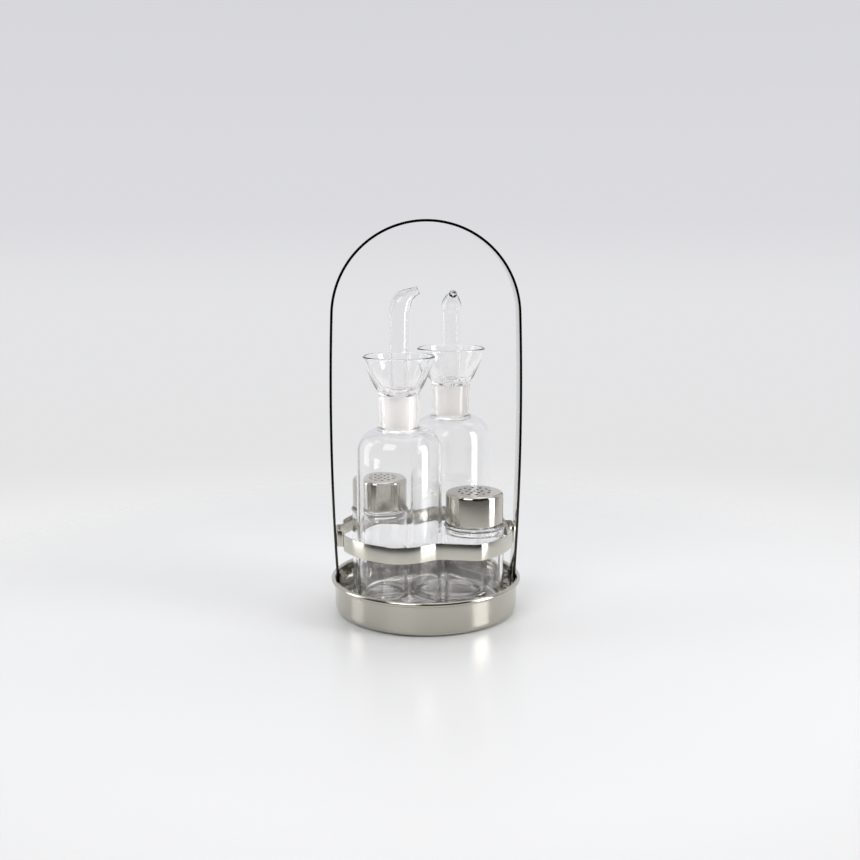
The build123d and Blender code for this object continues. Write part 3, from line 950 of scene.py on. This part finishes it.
def make_surroundings():
    """A pale backdrop for the eye; for reflections, a room that is light behind
    the set and dark behind the camera."""
    world = bpy.data.worlds.new("studio")
    bpy.context.scene.world = world
    world.use_nodes = True
    tree = world.node_tree
    tree.nodes.clear()
    where = add(tree, "TexCoord")
    split = add(tree, "SeparateXYZ", {"Vector": where.outputs["Generated"]})
    ahead = Vector((sin(radians(VIEW_TURN)), cos(radians(VIEW_TURN)), 0))
    facing = add(tree, "VectorMath", {0: where.outputs["Generated"], 1: ahead},
                 operation="DOT_PRODUCT")
    backdrop = add(tree, "ValToRGB", {"Fac": add(tree, "MapRange", {
        "Value": split.outputs["Z"], "From Min": -0.5, "From Max": 0.5,
    }).outputs[0]})
    ramp = backdrop.color_ramp
    ramp.interpolation = "EASE"
    for place, code in BACKDROP:
        stop = ramp.elements.new(place)
        stop.color = linear(code)
    ramp.elements.remove(ramp.elements[0])
    ramp.elements.remove(ramp.elements[-1])
    light = add(tree, "MapRange", {
        "Value": facing.outputs["Value"],
        "From Min": ROOM_TURNS[0], "From Max": ROOM_TURNS[1],
        "To Min": ROOM_DARK, "To Max": ROOM_LIGHT,
    }, interpolation_type="SMOOTHSTEP")
    rays = add(tree, "LightPath")
    seen = add(tree, "Background", {"Color": backdrop.outputs["Color"]})
    felt = add(tree, "Background", {"Color": linear("#FAFBFF"), "Strength": light.outputs[0]})
    through = add(tree, "Math", {
        0: rays.outputs["Is Camera Ray"], 1: rays.outputs["Is Transmission Ray"],
    }, operation="MAXIMUM")
    mixed = add(tree, "MixShader", {
        0: through.outputs[0], 1: felt.outputs[0], 2: seen.outputs[0],
    })
    add(tree, "OutputWorld", {"Surface": mixed.outputs[0]})


def make_softbox(name, turn, rise, away, wide, tall, watts):
    """An area light turn degrees from the camera, seen from the set, and
    counted to the right."""
    data = bpy.data.lights.new(name, "AREA")
    data.shape, data.size, data.size_y, data.energy = "RECTANGLE", wide, tall, watts
    lamp = bpy.data.objects.new(name, data)
    bpy.context.scene.collection.objects.link(lamp)
    aim = Vector((0, 0, LIGHT_AIM))
    angle, up = radians(turn - 90 - VIEW_TURN), radians(rise)
    lamp.location = aim + Vector((cos(angle) * cos(up), sin(angle) * cos(up), sin(up))) * away
    lamp.rotation_euler = (aim - lamp.location).to_track_quat("-Z", "Y").to_euler()
    lamp.visible_camera = False
    lamp.visible_transmission = False


def make_camera():
    """The eye, a little above the set and looking down at it."""
    data = bpy.data.cameras.new("camera")
    data.lens, data.sensor_width = LENS, 36.0
    data.clip_start, data.clip_end = 0.01, 20.0
    camera = bpy.data.objects.new("camera", data)
    bpy.context.scene.collection.objects.link(camera)
    camera.location = Matrix.Rotation(-radians(VIEW_TURN), 3, "Z") @ Vector(EYE)
    camera.rotation_euler = (radians(90 - LOOK_DOWN), 0, -radians(VIEW_TURN))
    bpy.context.scene.camera = camera


make_floor()
make_surroundings()
for softbox in SOFTBOXES:
    make_softbox(*softbox)
make_camera()

scene = bpy.context.scene
scene.view_settings.view_transform = "Standard"
scene.cycles.max_bounces = 24
scene.cycles.transmission_bounces = 24
scene.cycles.transparent_max_bounces = 24
scene.cycles.glossy_bounces = 8
